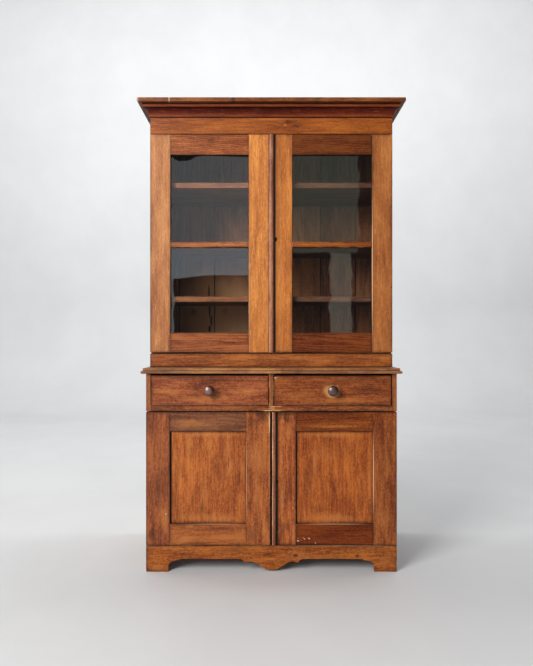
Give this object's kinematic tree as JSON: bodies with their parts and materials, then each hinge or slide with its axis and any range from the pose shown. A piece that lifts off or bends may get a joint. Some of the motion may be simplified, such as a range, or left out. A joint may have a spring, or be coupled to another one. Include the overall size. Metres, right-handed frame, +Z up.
{
  "type": "step back cupboard",
  "caption": "Two-part pine cupboard: glazed doors over a deeper base with drawers, panelled doors, a scrolled bracket base and a coved cornice.",
  "frame": {"origin": "on the floor, under the middle of the whole cupboard with its knobs", "axes": "+Z up, the doors face -Y, +X to the viewer's right"},
  "size_m": [1.22, 0.52, 2.1362],
  "materials": {
    "stained_pine": "satin varnish over stain",
    "dark_pine": "dark satin varnish over stain",
    "bare_pine": "aged, dry",
    "knob_wood": "polished by hands",
    "old_glass": "wavy, clear",
    "putty": "dry",
    "iron": "dull, worn"
  },
  "bodies": {
    "cabinet": {"bracket_base": "stained_pine", "case_hinge_leaves": "iron", "cornice_top_board": "stained_pine", "counter_top": "stained_pine", "crown_moulding": "dark_pine", "drawer_divider": "stained_pine", "drawer_rail": "stained_pine", "drawer_runners": "bare_pine", "frieze_board": "stained_pine", "lower_back_boards": "bare_pine", "lower_bottom_board": "bare_pine", "lower_left_side": "stained_pine", "lower_right_side": "stained_pine", "lower_shelf": "bare_pine", "upper_back_boards": "bare_pine", "upper_bottom_board": "bare_pine", "upper_left_side": "stained_pine", "upper_right_side": "stained_pine", "upper_shelves": "bare_pine", "waist_rail": "stained_pine"},
    "upper_left_door": {"upper_left_door_glass": "old_glass", "upper_left_door_hinge_leaves": "iron", "upper_left_door_hinge_stile": "stained_pine", "upper_left_door_meeting_stile": "stained_pine", "upper_left_door_muntin": "stained_pine", "upper_left_door_putty": "putty", "upper_left_door_rails": "stained_pine"},
    "upper_right_door": {"upper_right_door_bead": "stained_pine", "upper_right_door_glass": "old_glass", "upper_right_door_hinge_leaves": "iron", "upper_right_door_hinge_stile": "stained_pine", "upper_right_door_lock": "iron", "upper_right_door_meeting_stile": "stained_pine", "upper_right_door_muntin": "stained_pine", "upper_right_door_putty": "putty", "upper_right_door_rails": "stained_pine"},
    "lower_left_door": {"lower_left_door_hinge_leaves": "iron", "lower_left_door_hinge_stile": "stained_pine", "lower_left_door_meeting_stile": "stained_pine", "lower_left_door_panel": "stained_pine", "lower_left_door_rails": "stained_pine"},
    "lower_right_door": {"lower_right_door_bead": "stained_pine", "lower_right_door_hinge_leaves": "iron", "lower_right_door_hinge_stile": "stained_pine", "lower_right_door_lock": "iron", "lower_right_door_meeting_stile": "stained_pine", "lower_right_door_panel": "stained_pine", "lower_right_door_rails": "stained_pine"},
    "left_drawer": {"left_drawer_back": "bare_pine", "left_drawer_bottom": "bare_pine", "left_drawer_front": "stained_pine", "left_drawer_knob": "knob_wood", "left_drawer_sides": "bare_pine"},
    "right_drawer": {"right_drawer_back": "bare_pine", "right_drawer_bottom": "bare_pine", "right_drawer_front": "stained_pine", "right_drawer_knob": "knob_wood", "right_drawer_sides": "bare_pine"},
    "upper_bolt": {"upper_lock_bolt": "iron"},
    "lower_bolt": {"lower_lock_bolt": "iron"}
  },
  "joints": [
    {"name": "upper_left_door_hinge", "type": "hinge", "parent": "cabinet", "child": "upper_left_door", "pos_m": [-0.5603, -0.1145, 1.4812], "axis": [0, 0, -1], "range_deg": [0, 170]},
    {"name": "upper_right_door_hinge", "type": "hinge", "parent": "cabinet", "child": "upper_right_door", "pos_m": [0.5603, -0.1145, 1.4812], "axis": [0, 0, 1], "range_deg": [0, 170]},
    {"name": "lower_left_door_hinge", "type": "hinge", "parent": "cabinet", "child": "lower_left_door", "pos_m": [-0.5603, -0.1985, 0.4161], "axis": [0, 0, -1], "range_deg": [0, 170]},
    {"name": "lower_right_door_hinge", "type": "hinge", "parent": "cabinet", "child": "lower_right_door", "pos_m": [0.5603, -0.1985, 0.4161], "axis": [0, 0, 1], "range_deg": [0, 170]},
    {"name": "left_drawer_slide", "type": "slide", "parent": "cabinet", "child": "left_drawer", "axis": [0, -1, 0], "range_m": [0, 0.33]},
    {"name": "right_drawer_slide", "type": "slide", "parent": "cabinet", "child": "right_drawer", "axis": [0, -1, 0], "range_m": [0, 0.33]},
    {"name": "upper_bolt_slide", "type": "slide", "parent": "upper_right_door", "child": "upper_bolt", "axis": [-1, 0, 0], "range_m": [0, 0.01]},
    {"name": "lower_bolt_slide", "type": "slide", "parent": "lower_right_door", "child": "lower_bolt", "axis": [-1, 0, 0], "range_m": [0, 0.016]}
  ]
}
